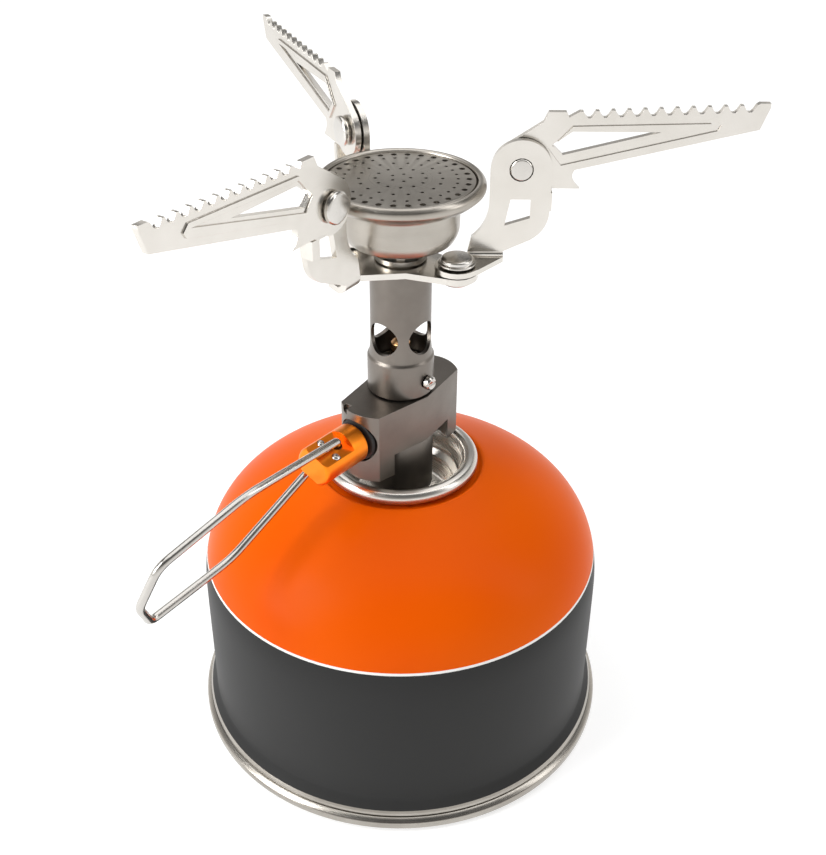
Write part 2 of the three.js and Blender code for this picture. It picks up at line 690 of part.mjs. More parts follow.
// ---------------------------------------------------------------- burner
function burnerNeck() {
  const bottom = PLATE_TOP + GAP;
  const top = BOWL_BOTTOM - GAP;
  const body = turned([
    [4.1, 105], [4.1, bottom], [5, bottom], [5, bottom + 0.9], [4.3, bottom + 0.9], [4.3, top],
    [3.3, top], [3.3, 105], [4.1, 105]], 20);
  const slots = [0, 60, 120].map((angle) => box([-6, 6], [-1.4, 1.4], [bottom + 0.9, top - 0.4])
    .rotate([0, 0, angle]));
  return cut(body, ...slots);
}

function burnerBowl() {
  const b = BOWL_BOTTOM;
  return turned([
    [3.4, b], [7.4, b], [10.1, b + 1.3], [BOWL_R, b + 3.4], [BOWL_R, b + 8], [11.8, b + 9.1],
    [14.2, b + 9.7], [RIM_R, b + 11], [RIM_R, b + 12], [14.8, b + 12.9], [14, b + 12.6],
    [14, b + 11.6], [11, b + 10.2], [10, b + 8.8], [10, b + 3.6], [7.2, b + 1], [3.4, b + 1],
    [3.4, b]], 32);
}

// Rings of flame ports: [radius of the ring, ports, port radius].
const PORT_RINGS = [[12.4, 24, 0.6]];

function burnerPlate() {
  const bottom = DISC_TOP - DISC_T;
  const plate = turned([
    [0, bottom + 0.3], [DISC_R, bottom], [DISC_R, DISC_TOP - 0.3], [0, DISC_TOP]], 32);
  const ports = PORT_RINGS.flatMap(([radius, count, size]) => Array.from({ length: count }, (_, i) =>
    disc(size, bottom - 1, DISC_TOP + 1, 5).translate([radius, 0, 0]).rotate([0, 0, (360 * i) / count])));
  return cut(plate, ...ports);
}

place(stove, 'burner_neck', burnerNeck(), SATIN_STEEL);
place(stove, 'burner_bowl', burnerBowl(), SATIN_STEEL);
place(stove, 'burner_gauze', disc(9.7, BOWL_BOTTOM + 6, BOWL_BOTTOM + 6.5, 32), SATIN_STEEL);
place(stove, 'burner_plate', burnerPlate(), SATIN_STEEL);

// The origin is on the surface that the stove stands on, under the middle of its whole extent.
const extent = new THREE.Box3().setFromObject(model, true);
const middle = extent.getCenter(new THREE.Vector3());
model.position.set(-middle.x, -middle.y, -extent.min.z);

export default model;
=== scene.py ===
import json
import math

import bmesh
import bpy
from mathutils import Matrix, Vector

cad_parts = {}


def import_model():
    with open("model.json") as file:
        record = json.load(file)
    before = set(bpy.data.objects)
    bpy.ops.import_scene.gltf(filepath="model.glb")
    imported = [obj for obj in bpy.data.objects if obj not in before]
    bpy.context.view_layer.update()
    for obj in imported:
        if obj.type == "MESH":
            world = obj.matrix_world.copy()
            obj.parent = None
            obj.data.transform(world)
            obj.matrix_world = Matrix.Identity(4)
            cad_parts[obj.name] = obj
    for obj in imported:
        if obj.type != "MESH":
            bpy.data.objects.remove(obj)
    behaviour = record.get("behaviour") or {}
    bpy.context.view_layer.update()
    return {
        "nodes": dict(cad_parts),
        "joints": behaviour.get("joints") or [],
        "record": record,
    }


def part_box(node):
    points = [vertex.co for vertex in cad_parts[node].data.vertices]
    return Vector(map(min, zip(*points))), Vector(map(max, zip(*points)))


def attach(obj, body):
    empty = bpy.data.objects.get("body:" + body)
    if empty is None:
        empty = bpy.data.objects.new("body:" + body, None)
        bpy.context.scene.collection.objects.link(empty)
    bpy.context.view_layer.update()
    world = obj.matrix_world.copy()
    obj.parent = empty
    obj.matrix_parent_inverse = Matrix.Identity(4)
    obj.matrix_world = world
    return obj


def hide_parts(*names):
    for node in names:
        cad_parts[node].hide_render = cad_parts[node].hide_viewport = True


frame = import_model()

# A canister camping stove. Blender works in metres. Sizes typed in here are in millimetres and
# are multiplied by MM, apart from those of the stage, the lights and the camera.
MM = 0.001
MICRON = 1e-6  # in metres
JOINTS = {joint["name"]: joint for joint in frame["joints"]}
BODIES = frame["record"]["behaviour"]["bodies"]
BODY_OF = {node: body for body, nodes in BODIES.items() for node in nodes}
SLOT_OF = {row["node"]: row["material_slot"] for row in frame["record"]["subparts"]}

# How many sides turned pieces get, from the widest pieces to the smallest.
FINE_SEGMENTS = 144
KNOB_SEGMENTS = 96
SWING_RIVET_SEGMENTS = 64
SMALL_SEGMENTS = 48
PIN_SEGMENTS = 32


# ---------------------------------------------------------------- frames
def basis(origin, direction):
    """A frame whose z runs along direction from origin."""
    turn = Vector(direction).to_track_quat("Z", "Y").to_matrix().to_4x4()
    return Matrix.Translation(Vector(origin)) @ turn


def joint_frame(name):
    """A frame whose z is the joint's axis."""
    return basis(JOINTS[name]["pos_m"], JOINTS[name]["axis"])


def flats_frame():
    """The knob's frame at the wire's pivot: z is outward along the knob, y the flats' normal."""
    normal = -Vector(JOINTS["wire_fold"]["axis"])
    along = Vector(JOINTS["knob_turn"]["axis"]).normalized()
    side = normal.cross(along).normalized()
    turn = Matrix((side, normal.normalized(), along)).transposed().to_4x4()
    return Matrix.Translation(Vector(JOINTS["wire_fold"]["pos_m"])) @ turn


AXIS = Vector(JOINTS["stove_unscrew"]["pos_m"])  # where the stove's axis meets the floor
AXIS.z = 0
UPRIGHT = Matrix.Translation(AXIS)
KNOB_AXIS = joint_frame("knob_turn")
FLATS = flats_frame()
Z_TO_Y = Matrix.Rotation(-math.pi / 2, 4, "X")  # lays a rod or a pin along the flats' normal


# ---------------------------------------------------------------- materials
RINGS = "rings"  # metal()'s grain for turned pieces
EVEN = (1, 1, 1)
LATHE_SCALE = 2500
RAMP_ENDS = (0.3, 0.7)  # noise is mostly between these


def node_tree(name):
    material = bpy.data.materials.new(name)
    material.use_nodes = True
    tree = material.node_tree
    return material, tree, tree.nodes["Principled BSDF"]


def add(tree, kind, **settings):
    """A new node. A setting is one of its inputs if it has one of that name, or a property."""
    node = tree.nodes.new(kind)
    for key, value in settings.items():
        if key in node.inputs:
            node.inputs[key].default_value = value
        else:
            setattr(node, key, value)
    return node


def stretched_noise(tree, stretch, scale, detail=6.0):
    """Noise in the piece's own space, stretched along some axes."""
    place = add(tree, "ShaderNodeTexCoord")
    mapping = add(tree, "ShaderNodeMapping", Scale=stretch)
    noise = add(tree, "ShaderNodeTexNoise", Scale=scale, Detail=detail, Roughness=0.6)
    tree.links.new(place.outputs["Object"], mapping.inputs["Vector"])
    tree.links.new(mapping.outputs["Vector"], noise.inputs["Vector"])
    return noise


def ring_noise(tree, scale):
    """Fine rings round the stove's axis, such as a lathe leaves: noise over radius and height."""
    place = add(tree, "ShaderNodeTexCoord")
    centred = add(tree, "ShaderNodeVectorMath", operation="SUBTRACT")
    centred.inputs[1].default_value = AXIS
    tree.links.new(place.outputs["Object"], centred.inputs[0])
    split = add(tree, "ShaderNodeSeparateXYZ")
    tree.links.new(centred.outputs["Vector"], split.inputs["Vector"])
    flat = add(tree, "ShaderNodeVectorMath", operation="MULTIPLY")
    flat.inputs[1].default_value = (1, 1, 0)
    tree.links.new(centred.outputs["Vector"], flat.inputs[0])
    radius = add(tree, "ShaderNodeVectorMath", operation="LENGTH")
    tree.links.new(flat.outputs["Vector"], radius.inputs[0])
    joined = add(tree, "ShaderNodeCombineXYZ")
    tree.links.new(radius.outputs["Value"], joined.inputs["X"])
    tree.links.new(split.outputs["Z"], joined.inputs["Y"])
    noise = add(tree, "ShaderNodeTexNoise", Scale=scale, Detail=3.0, Roughness=0.6)
    tree.links.new(joined.outputs["Vector"], noise.inputs["Vector"])
    return noise


def spread(tree, source, low, high, start=RAMP_ENDS[0], end=RAMP_ENDS[1]):
    """The source, from start to end, as a value from low to high."""
    node = tree.nodes.new("ShaderNodeMapRange")
    for key, value in (("From Min", start), ("From Max", end), ("To Min", low), ("To Max", high)):
        node.inputs[key].default_value = value
    tree.links.new(source, node.inputs["Value"])
    return node.outputs["Result"]


def tint(tree, factor, dark, light):
    """A colour between dark and light."""
    ramp = tree.nodes.new("ShaderNodeValToRGB")
    for element, position, color in zip(ramp.color_ramp.elements, RAMP_ENDS, (dark, light)):
        element.position = position
        element.color = (*color, 1)
    tree.links.new(factor, ramp.inputs["Fac"])
    return ramp.outputs["Color"]


def bump(tree, shader, height, strength, depth):
    """Relief up to depth millimetres deep."""
    node = add(tree, "ShaderNodeBump", Strength=strength, Distance=depth * MM)
    tree.links.new(height, node.inputs["Height"])
    tree.links.new(node.outputs["Normal"], shader.inputs["Normal"])


def metal(name, dark, light, roughness, stretch, scale, grain=0.12):
    """Metal with a grain, which drives its roughness and a slight relief. Its colour drifts."""
    material, tree, shader = node_tree(name)
    shader.inputs["Metallic"].default_value = 1.0
    noise = ring_noise(tree, scale) if stretch is RINGS else stretched_noise(tree, stretch, scale)
    cloud = stretched_noise(tree, EVEN, scale=90.0, detail=3.0)
    tree.links.new(tint(tree, cloud.outputs["Fac"], dark, light), shader.inputs["Base Color"])
    tree.links.new(spread(tree, noise.outputs["Fac"], *roughness), shader.inputs["Roughness"])
    bump(tree, shader, noise.outputs["Fac"], strength=grain, depth=0.03)
    return material


def paint(name, dark, light, roughness, gloss):
    """Paint over metal, with a faint orange-peel surface and slow changes of colour."""
    material, tree, shader = node_tree(name)
    shader.inputs["Roughness"].default_value = roughness
    shader.inputs["Specular IOR Level"].default_value = gloss
    cloud = stretched_noise(tree, EVEN, scale=14.0, detail=2.0)
    tree.links.new(tint(tree, cloud.outputs["Fac"], dark, light), shader.inputs["Base Color"])
    peel = stretched_noise(tree, EVEN, scale=900.0, detail=2.0)
    bump(tree, shader, peel.outputs["Fac"], strength=0.08, depth=0.02)
    return material


def soft(name, dark, light, roughness, scale):
    """Rubber or plastic: a matt surface with a fine uneven texture."""
    material, tree, shader = node_tree(name)
    noise = stretched_noise(tree, EVEN, scale)
    tree.links.new(tint(tree, noise.outputs["Fac"], dark, light), shader.inputs["Base Color"])
    tree.links.new(spread(tree, noise.outputs["Fac"], *roughness), shader.inputs["Roughness"])
    bump(tree, shader, noise.outputs["Fac"], strength=0.2, depth=0.04)
    return material


# The record's material slots, and one more for the white line above the label.
MATERIALS = {
    "orange_paint": paint(
        "cartridge_orange", (0.68, 0.074, 0.0003), (0.84, 0.132, 0.0005), 0.36, 0.055),
    "label_grey": paint(
        "label_grey", (0.026, 0.026, 0.026), (0.033, 0.033, 0.0325), 0.45, 0.10),
    "label_white": paint(
        "label_white", (0.80, 0.79, 0.77), (0.88, 0.87, 0.85), 0.4, 0.2),
    "seam_steel": metal(
        "seam_steel", (0.36, 0.335, 0.30), (0.45, 0.425, 0.385), (0.22, 0.32),
        RINGS, LATHE_SCALE, 0.06),
    "cup_steel": metal(
        "cup_steel", (0.60, 0.57, 0.53), (0.70, 0.675, 0.63), (0.24, 0.33),
        RINGS, LATHE_SCALE, 0.06),
    "grey_metal": metal(
        "grey_metal", (0.175, 0.155, 0.137), (0.225, 0.203, 0.18), (0.30, 0.42),
        (30, 30, 120), 60, 0.15),
    "orange_anodised": metal(
        "orange_anodised", (0.98, 0.25, 0.016), (1.0, 0.31, 0.026), (0.30, 0.42),
        (60, 60, 60), 60),
    "arm_steel": metal(
        "arm_steel", (0.66, 0.63, 0.58), (0.73, 0.70, 0.655), (0.20, 0.27),
        (8, 8, 60), 60, 0.03),
    "rivet_steel": metal(
        "rivet_steel", (0.60, 0.575, 0.54), (0.70, 0.68, 0.645), (0.16, 0.28),
        (30, 30, 30), 70, 0.06),
    "burner_steel": metal(
        "burner_steel", (0.38, 0.35, 0.31), (0.46, 0.43, 0.385), (0.26, 0.36),
        RINGS, LATHE_SCALE, 0.08),
    "wire_steel": metal(
        "wire_steel", (0.50, 0.48, 0.45), (0.58, 0.56, 0.53), (0.18, 0.26),
        (4, 4, 4), 90, 0.03),
    "brass": metal(
        "brass", (0.50, 0.27, 0.12), (0.62, 0.36, 0.17), (0.22, 0.36),
        RINGS, LATHE_SCALE, 0.06),
    "rubber": soft(
        "rubber", (0.010, 0.010, 0.010), (0.022, 0.021, 0.020), (0.50, 0.70), 500.0),
    "valve_plastic": soft(
        "valve_plastic", (0.70, 0.69, 0.66), (0.78, 0.77, 0.74), (0.38, 0.52), 300.0),
}


# ---------------------------------------------------------------- outlines
# An outline is a list of (radius, height) points. A closed one is a ring's section, and an open
# one starts and ends on the axis.
CORNER_ANGLE = math.radians(25)
SAME_POINT = 1e-7           # metres; points of the imported mesh that are nearer are one
MERIDIAN_ANGLE = 2e-3       # radians either side of a meridian
FILLET_STEPS = (0, 0.33, 0.67, 1)
FILLET_SHARE = 0.4          # the most of a side that one fillet takes
CURVE_MARGIN = 0.3          # the share of a side beside a corner that gets no curve points
SPEED_LIMIT = 2             # a curve's top speed at a point, in lengths of the side beyond it


def in_metres(outline):
    return [Vector(point) * MM for point in outline]


def cad_copy(node):
    bm = bmesh.new()
    bm.from_mesh(frame["nodes"][node].data)
    bmesh.ops.remove_doubles(bm, verts=bm.verts, dist=SAME_POINT)
    return bm


def meridian(node, base):
    """The outline that a turned node was spun from about base's z, and whether it is closed."""
    bm = cad_copy(node)
    bm.transform(base.inverted())
    widest = max(bm.verts, key=lambda v: v.co.xy.length)
    angle = math.atan2(widest.co.y, widest.co.x)

    def on_it(vert):
        off = math.atan2(vert.co.y, vert.co.x) - angle
        return (vert.co.xy.length < MICRON
                or abs(math.remainder(off, 2 * math.pi)) < MERIDIAN_ANGLE)

    linked = {v: [e.other_vert(v) for e in v.link_edges if on_it(e.other_vert(v))]
              for v in bm.verts if on_it(v)}
    ends = [v for v in linked if v.co.xy.length < MICRON]
    start = min(ends, key=lambda v: v.co.z) if ends else widest
    walk = [start]
    while True:
        following = [v for v in linked[walk[-1]] if v not in walk]
        if not following:
            break
        walk.append(following[0])
    points = [Vector((v.co.xy.length, v.co.z)) for v in walk]
    bm.free()
    return points, not ends


def fillet_point(one, corner, two, t):
    """A point on the parabola from one to two that rounds the corner."""
    return one * (1 - t) ** 2 + corner * 2 * t * (1 - t) + two * t * t


def curve_point(start, leave, end, arrive, t):
    """A point on the cubic curve from start to end, which leaves and arrives at those speeds."""
    return (start * (2 * t ** 3 - 3 * t * t + 1) + leave * (t ** 3 - 2 * t * t + t)
            + end * (3 * t * t - 2 * t ** 3) + arrive * (t ** 3 - t * t))


def fair(points, closed, fillet, steps=5):
    """Rounds an outline: sharp corners get a small fillet, and the rest becomes a smooth curve."""
    count = len(points)

    def at(i):
        """Point i, counted on round a closed outline. Beyond an open one's ends there is none."""
        return points[i % count] if closed or 0 <= i < count else None

    def is_corner(i):
        if at(i - 1) is None or at(i + 1) is None:
            return True
        return (at(i) - at(i - 1)).angle(at(i + 1) - at(i), 0) > CORNER_ANGLE

    corners = [is_corner(i) for i in range(count)]

    def side_length(i):
        """The length of the side after point i, or infinity where an open outline has none."""
        one, two = at(i), at(i + 1)
        return math.inf if one is None or two is None else (two - one).length

    def direction(i, side):
        """The curve's direction at point i: along the side at a corner, and between both sides
        elsewhere."""
        if corners[i % count]:
            return side.normalized()
        return (at(i + 1) - at(i - 1)).normalized()

    made = []
    for i in range(count):
        before, point, after = at(i - 1), at(i), at(i + 1)
        if corners[i] and before is not None and after is not None:
            reach = min(fillet, FILLET_SHARE * (point - before).length,
                        FILLET_SHARE * (after - point).length)
            one = point + (before - point).normalized() * reach
            two = point + (after - point).normalized() * reach
            made += [fillet_point(one, point, two, t) for t in FILLET_STEPS]
        else:
            made.append(point.copy())
        near_corner, far_corner = corners[i], corners[(i + 1) % count]
        if after is None or (near_corner and far_corner):
            continue
        side = after - point
        leave = direction(i, side) * min(side.length, SPEED_LIMIT * side_length(i - 1))
        arrive = direction(i + 1, side) * min(side.length, SPEED_LIMIT * side_length(i + 1))
        for k in range(1, steps):
            t = k / steps
            if (near_corner and t < CURVE_MARGIN) or (far_corner and t > 1 - CURVE_MARGIN):
                continue
            made.append(curve_point(point, leave, after, arrive, t))
    return made


def with_levels(points, levels):
    """Adds a point wherever a closed outline passes one of the levels."""
    made = []
    for one, two in zip(points, points[1:] + points[:1]):
        made.append(one)
        for level in sorted(levels, reverse=two.y < one.y):
            if min(one.y, two.y) + MICRON < level < max(one.y, two.y) - MICRON:
                made.append(one.lerp(two, (level - one.y) / (two.y - one.y)))
    return made


# ---------------------------------------------------------------- meshes
SMOOTH_ANGLE = math.radians(38)     # faces that meet more sharply keep a hard edge
FLAT_ANGLE = math.radians(0.8)      # a stamped piece's faces that meet more gently become one
BROKEN_ANGLE = math.radians(40)     # a stamped piece's edges that are sharper get a bevel
MERGE_DISTANCE = 0.02               # a stamped piece's points that are nearer than this are merged
SLIVER = 0.001                      # the longest edge that is cleared away after a bevel
SHANK_MARGIN = 1.01                 # takes in a shank whose radius is up to 1% over the drawn one


def spun(points, closed, segments):
    """A solid of revolution about z, from an outline in metres."""
    bm = bmesh.new()
    rings = []
    for point in points:
        if point.x < MICRON:
            rings.append([bm.verts.new((0, 0, point.y))])
            continue
        rings.append([bm.verts.new((point.x * math.cos(a), point.x * math.sin(a), point.y))
                      for a in (2 * math.pi * i / segments for i in range(segments))])
    for low, high in zip(rings, rings[1:] + rings[:1] if closed else rings[1:]):
        for i in range(segments):
            j = (i + 1) % segments
            around = [low[i % len(low)], low[j % len(low)],
                      high[j % len(high)], high[i % len(high)]]
            unique = list(dict.fromkeys(around))
            if len(unique) > 2:
                bm.faces.new(unique)
    bmesh.ops.recalc_face_normals(bm, faces=bm.faces)
    return bm


def piece_from(bm, name):
    mesh = bpy.data.meshes.new(name)
    bm.normal_update()
    bm.to_mesh(mesh)
    bm.free()
    piece = bpy.data.objects.new(name, mesh)
    bpy.context.scene.collection.objects.link(piece)
    return piece


def lathed(node, points, closed, fillet, segments, base):
    """A node's new piece, spun about base's z from an outline in metres that is faired first."""
    bm = spun(fair(points, closed, fillet * MM), closed, segments)
    bm.transform(base)
    return piece_from(bm, node + "_fine")


def finish_piece(piece, node):
    """Gives a new piece its node's body, slot and material, and hides the node."""
    slot = SLOT_OF[node]
    if not piece.data.materials:
        piece.data.materials.append(MATERIALS[slot])
    for polygon in piece.data.polygons:
        polygon.use_smooth = True
    piece.data.set_sharp_from_angle(angle=SMOOTH_ANGLE)
    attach(piece, BODY_OF[node])
    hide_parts(node)
    return piece


def turned(node, base=UPRIGHT, fillet=0.25, segments=FINE_SEGMENTS, shank=None):
    """A finer copy of a turned node. With shank=(drawn, wanted), a shank of that drawn radius
    grows to the wanted one, and with it everything narrower."""
    points, closed = meridian(node, base)
    if shank:
        drawn, wanted = shank
        limit = drawn * SHANK_MARGIN * MM
        points = [Vector((p.x * wanted / drawn, p.y)) if p.x < limit else p for p in points]
    finish_piece(lathed(node, points, closed, fillet, segments, base), node)


def stamped(node, edge=0.12):
    """A copy of a flat or milled node with its edges broken."""
    bm = cad_copy(node)
    bmesh.ops.remove_doubles(bm, verts=bm.verts, dist=MERGE_DISTANCE * MM)
    bmesh.ops.dissolve_limit(bm, angle_limit=FLAT_ANGLE, verts=bm.verts, edges=bm.edges)
    sharp = [e for e in bm.edges
             if len(e.link_faces) == 2 and e.calc_face_angle(0) > BROKEN_ANGLE]
    bmesh.ops.bevel(bm, geom=sharp, offset=edge * MM, segments=2, affect="EDGES", profile=0.5,
                    clamp_overlap=True)
    bmesh.ops.dissolve_degenerate(bm, edges=bm.edges, dist=SLIVER * MM)
    piece = finish_piece(piece_from(bm, node + "_fine"), node)
    piece.modifiers.new("flat faces", "WEIGHTED_NORMAL").keep_sharp = True


def rod(radius, low, high, base):
    """A cutter: a plain rod along base's z."""
    outline = ((0, low), (radius, low), (radius, high), (0, high))
    bm = spun(in_metres(outline), False, SMALL_SEGMENTS)
    bm.transform(base)
    return piece_from(bm, "cutter")


def block(size, centre, base):
    """A cutter: a box of that size about centre, in base's frame."""
    bm = bmesh.new()
    bmesh.ops.create_cube(bm, size=1)
    place = Matrix.Translation(Vector(centre) * MM)
    bm.transform(base @ place @ Matrix.Diagonal((*(Vector(size) * MM), 1)))
    return piece_from(bm, "cutter")


def carve(piece, cutters):
    """Cuts solids out of a piece, and removes them."""
    for cutter in cutters:
        modifier = piece.modifiers.new("cut", "BOOLEAN")
        modifier.operation = "DIFFERENCE"
        modifier.solver = "EXACT"
        modifier.object = cutter
    bpy.context.view_layer.update()
    graph = bpy.context.evaluated_depsgraph_get()
    mesh = bpy.data.meshes.new_from_object(piece.evaluated_get(graph))
    piece.modifiers.clear()
    piece.data = mesh
    for cutter in cutters:
        bpy.data.objects.remove(cutter)


# ---------------------------------------------------------------- cartridge
LABEL_BOTTOM = 4.9
LABEL_TOP = 41.2
LINE_TOP = LABEL_TOP + 0.55

# What covers the shell down to each height.
SHELL_BANDS = (("orange_paint", LINE_TOP), ("label_white", LABEL_TOP),
               ("label_grey", LABEL_BOTTOM), ("seam_steel", -math.inf))


def cartridge_shell():
    """The shell, with a ring of edges wherever one finish gives way to the next."""
    points, closed = meridian("cartridge_shell", UPRIGHT)
    levels = [LABEL_BOTTOM * MM, LABEL_TOP * MM, LINE_TOP * MM]
    outline = with_levels(fair(points, closed, 0.5 * MM, steps=10), levels)
    bm = spun(outline, closed, FINE_SEGMENTS)
    bm.transform(UPRIGHT)
    piece = piece_from(bm, "cartridge_shell_fine")
    for finish, _ in SHELL_BANDS:
        piece.data.materials.append(MATERIALS[finish])
    for polygon in piece.data.polygons:
        height = polygon.center.z / MM
        polygon.material_index = next(
            i for i, (_, lowest) in enumerate(SHELL_BANDS) if height >= lowest)
    finish_piece(piece, "cartridge_shell")


cartridge_shell()
turned("cartridge_base", fillet=0.35)
turned("valve_cup", fillet=0.35)


# ---------------------------------------------------------------- valve block and knob
# Distances along the knob are from the wire handle's pivot, outward.
KNOB_RADIUS = 4.0
KNOB_INNER = -5.9
KNOB_OUTER = 5.8
KNOB_OUTLINE = ((0, KNOB_INNER), (3.7, KNOB_INNER), (KNOB_RADIUS, KNOB_INNER + 0.3),
                (KNOB_RADIUS, KNOB_OUTER - 0.7), (3.85, KNOB_OUTER - 0.25), (3.4, KNOB_OUTER),
                (0, KNOB_OUTER))
FLAT_DISTANCE = 2.7     # from the knob's axis to each flat
FLAT_START = -2.0       # where the flats start; they run to the outer end
FLAT_CUTTER = (12, 4, 12)   # across the knob, away from its axis, and along it
PAST_KNOB = 6           # from the axis, clear of the knob
PIVOT_HOLE_RADIUS = 1.15
SPINDLE_HOLE_RADIUS = 2.05
SPINDLE_HOLE_END = 1.8
KNOB_EDGE = 0.1             # the bevel on edges sharper than the angle
KNOB_EDGE_ANGLE = math.radians(35)

# The two pins lie beside the wire's leg: sideways from the knob's axis, and outward.
PIN_SIDEWAYS = 2.0
PIN_OUTWARD = 2.1
PIN_FOOT = 1.35         # heights on a pin are from the knob's axis, along the flats' normal
PIN_RADIUS = 0.86
PIN_OUTLINE = ((0, PIN_FOOT), (PIN_RADIUS, PIN_FOOT), (PIN_RADIUS, 2.6), (0.72, 2.88),
               (0.42, 3.08), (0, 3.14))
PIN_HOLE_RADIUS = 0.9
PIN_HOLE_FOOT = 1.2

# The wire handle's corners: outward from its pivot, sideways (towards minus x), along the flats'
# normal, and how far before and after the corner its bend starts and ends.
WIRE_CORNERS = (
    (0, 0, 1.1, 0), (0, 0, 4, 0.9), (24, 0, 5, 3), (43.4, 0, -0.4, 2.5), (46.2, 0, -10.2, 1.8),
    (42.6, 0, -17.6, 1.6), (23.3, 0, -14.5, 3), (3.6, 1.8, -3.9, 1.2), (0, 0, -4, 0.9),
    (0, 0, -1.1, 0))
WIRE_RADIUS = 0.81
WIRE_SIDES = 20
BEND_STEPS = 8


def pin_frame(side):
    """A pin's frame: z out of the flat, along its normal."""
    return FLATS @ Matrix.Translation(Vector((side * PIN_SIDEWAYS, 0, PIN_OUTWARD)) * MM) @ Z_TO_Y


def knob():
    """The milled knob, with its flats, and holes for the wire's ends, the pins and the spindle."""
    piece = lathed("control_knob", in_metres(KNOB_OUTLINE), closed=False, fillet=0.15,
                   segments=KNOB_SEGMENTS, base=FLATS)
    _, thickness, length = FLAT_CUTTER
    cutters = [block(FLAT_CUTTER, (0, side * (FLAT_DISTANCE + thickness / 2),
                                   FLAT_START + length / 2), FLATS) for side in (1, -1)]
    cutters.append(rod(PIVOT_HOLE_RADIUS, -PAST_KNOB, PAST_KNOB, FLATS @ Z_TO_Y))
    cutters += [rod(PIN_HOLE_RADIUS, PIN_HOLE_FOOT, PAST_KNOB, pin_frame(side))
                for side in (1, -1)]
    cutters.append(rod(SPINDLE_HOLE_RADIUS, KNOB_INNER - 1, SPINDLE_HOLE_END, FLATS))
    carve(piece, cutters)
    bm = bmesh.new()
    bm.from_mesh(piece.data)
    bmesh.ops.remove_doubles(bm, verts=bm.verts, dist=MICRON)
    bm.to_mesh(piece.data)
    bm.free()
    bevel = piece.modifiers.new("edge", "BEVEL")
    bevel.width = KNOB_EDGE * MM
    bevel.segments = 2
    bevel.angle_limit = KNOB_EDGE_ANGLE
    finish_piece(piece, "control_knob")


def detent_pin(node, side):
    """A round-headed pin set in the flat beside the wire handle's leg."""
    piece = lathed(node, in_metres(PIN_OUTLINE), closed=False, fillet=0.05,
                   segments=PIN_SEGMENTS, base=pin_frame(side))
    finish_piece(piece, node)


def wire_route():
    """The wire's middle line, with rounded bends, in the knob's frame."""
    corners = [(Vector((-side, height, out)), bend) for out, side, height, bend in WIRE_CORNERS]
    route = [corners[0][0]]
    for (before, _), (corner, bend), (after, _) in zip(corners, corners[1:], corners[2:]):
        one = corner + (before - corner).normalized() * bend
        two = corner + (after - corner).normalized() * bend
        route += [fillet_point(one, corner, two, i / BEND_STEPS) for i in range(BEND_STEPS + 1)]
    route.append(corners[-1][0])
    return [p * MM for p in route]


def wire():
    """The folding handle, one bent wire: a ring round each point of its route, skinned."""
    route = wire_route()
    bm = bmesh.new()
    normal = Vector((1, 0, 0))
    rings = []
    for i, point in enumerate(route):
        ahead = (route[min(i + 1, len(route) - 1)] - route[max(i - 1, 0)]).normalized()
        normal = (normal - ahead * normal.dot(ahead)).normalized()
        other = ahead.cross(normal)
        angles = [2 * math.pi * k / WIRE_SIDES for k in range(WIRE_SIDES)]
        rings.append([
            bm.verts.new(point + (normal * math.cos(a) + other * math.sin(a)) * WIRE_RADIUS * MM)
            for a in angles])
    for low, high in zip(rings, rings[1:]):
        for k in range(WIRE_SIDES):
            n = (k + 1) % WIRE_SIDES
            bm.faces.new((low[k], low[n], high[n], high[k]))
    bm.faces.new(rings[0][::-1])
    bm.faces.new(rings[-1])
    bmesh.ops.recalc_face_normals(bm, faces=bm.faces)
    bm.transform(FLATS)
    finish_piece(piece_from(bm, "wire_handle_fine"), "wire_handle")


stamped("valve_block", edge=0.22)
turned("inlet_collar")
turned("gland_ring", KNOB_AXIS, fillet=0.3, segments=KNOB_SEGMENTS)
knob()
detent_pin("detent_pin_a", -1)
detent_pin("detent_pin_b", 1)
wire()

# ---------------------------------------------------------------- tube
# Heights are from the floor, and holes' depths from the tube's axis.
TUBE_FOOT_RADIUS = 6.6
TUBE_RADIUS = 5.95
TUBE_BORE_RADIUS = 5.2
TUBE_SHOULDER = ((TUBE_FOOT_RADIUS, 87.8), (6.2, 88.3), (TUBE_RADIUS, 91.2))
PAST_TUBE = 9           # from the axis, clear of the tube
AIR_HOLE_HEIGHT = 93.1
AIR_HOLE_RADIUS = 3.4
SCREW_HOLE_RADIUS = 1.3
SCREW_HOLE_START = 4


def tube():
    """The mixing tube with its four air holes and the screw's hole."""
    low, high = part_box("mixing_tube")
    bottom, top = low.z / MM, high.z / MM
    outline = ((TUBE_FOOT_RADIUS, bottom), *TUBE_SHOULDER, (TUBE_RADIUS, top),
               (TUBE_BORE_RADIUS, top), (TUBE_BORE_RADIUS, bottom))
    piece = lathed("mixing_tube", in_metres(outline), closed=True, fillet=0.2,
                   segments=FINE_SEGMENTS, base=UPRIGHT)
    along = Vector(JOINTS["knob_turn"]["axis"])
    across = along.cross(Vector((0, 0, 1)))
    hole = AXIS + Vector((0, 0, AIR_HOLE_HEIGHT * MM))
    cutters = [rod(AIR_HOLE_RADIUS, -PAST_TUBE, PAST_TUBE, basis(hole, direction))
               for direction in (along, across)]
    low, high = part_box("tube_screw")
    screw = (low + high) / 2
    middle = Vector((AXIS.x, AXIS.y, screw.z))
    cutters.append(rod(SCREW_HOLE_RADIUS, SCREW_HOLE_START, PAST_TUBE,
                       basis(middle, screw - middle)))
    carve(piece, cutters)
    finish_piece(piece, "mixing_tube")


tube()
stamped("tube_screw", edge=0.06)
turned("jet", fillet=0.1, segments=SMALL_SEGMENTS)

# ---------------------------------------------------------------- supports
# The CAD's pivot rivets are slack in their holes, and here they nearly fill them. This is the
# shank's radius there and here.
PIVOT_SHANK = (1.9, 2.04)

